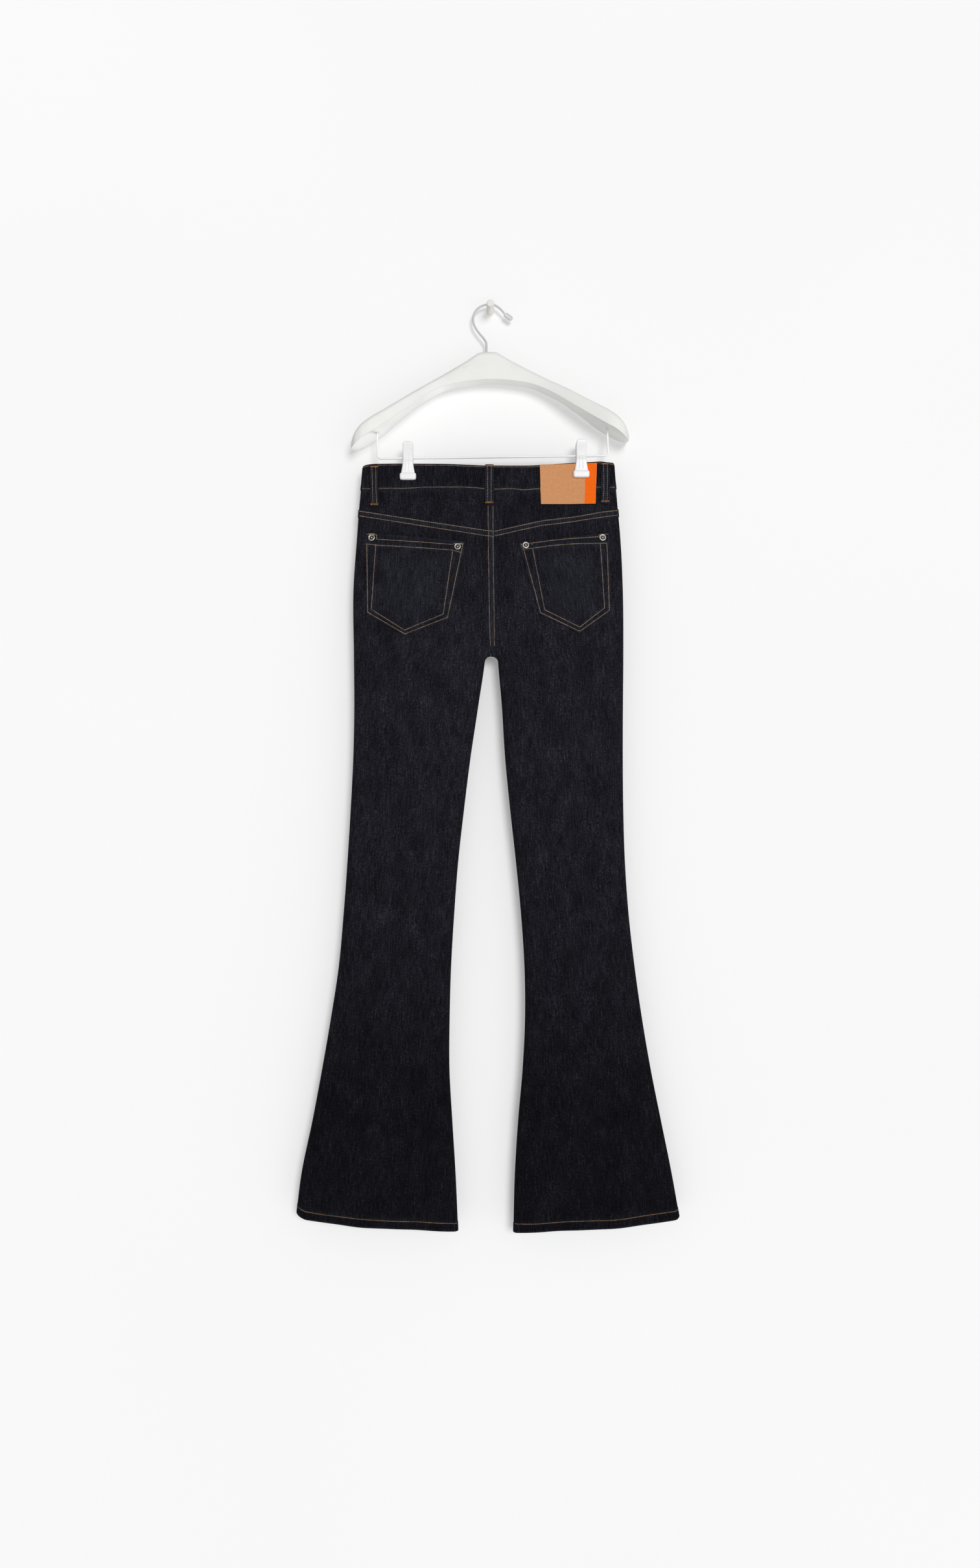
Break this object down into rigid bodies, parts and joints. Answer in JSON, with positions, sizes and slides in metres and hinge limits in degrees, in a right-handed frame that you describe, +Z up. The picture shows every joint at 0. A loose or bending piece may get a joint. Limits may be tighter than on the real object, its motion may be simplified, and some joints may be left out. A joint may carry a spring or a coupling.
{
  "type": "flared jeans on a clip hanger and wall peg",
  "caption": "Dark flared denim jeans hung by the waistband from a clip hanger on a wall peg, seen from the back, with yoke, patch pockets, belt loops and plain patch.",
  "frame": {"origin": "middle of the peg's end face, where it meets the wall", "axes": "+Y into the wall, +Z up along the garment, +X to the right for someone facing the wall; the back of the jeans faces -Y"},
  "size_m": [0.5617, 0.055, 1.3657],
  "materials": {
    "denim": "dark unwashed indigo denim, matt",
    "patch_card": "plain kraft-brown card with a bare orange strip",
    "nickel": "satin nickel",
    "painted_wood": "white satin paint",
    "hook_steel": "pale satin plated steel",
    "coated_wire": "white coated steel wire",
    "clip_plastic": "white moulded plastic, satin",
    "peg_wood": "white painted dowel"
  },
  "bodies": {
    "root": {"waistband": "denim", "yoke_left": "denim", "yoke_right": "denim", "back_panel_left": "denim", "back_panel_right": "denim", "front_panel_left": "denim", "front_panel_right": "denim", "front_pocket_facing_left": "denim", "front_pocket_facing_right": "denim", "back_pocket_left": "denim", "back_pocket_right": "denim", "fly": "denim", "belt_loop_back_left": "denim", "belt_loop_back_centre": "denim", "belt_loop_back_right": "denim", "belt_loop_front_left": "denim", "belt_loop_front_right": "denim", "patch": "patch_card", "rivet_back_left_outer": "nickel", "rivet_back_left_inner": "nickel", "rivet_back_right_outer": "nickel", "rivet_back_right_inner": "nickel", "rivet_front_left_top": "nickel", "rivet_front_left_side": "nickel", "rivet_front_right_top": "nickel", "rivet_front_right_side": "nickel", "waist_button": "nickel", "hanger_body": "painted_wood", "hanger_hook": "hook_steel", "hanger_bar": "coated_wire", "clip_left_back": "clip_plastic", "clip_left_front": "clip_plastic", "clip_right_back": "clip_plastic", "clip_right_front": "clip_plastic", "wall_peg": "peg_wood"}
  },
  "joints": []
}
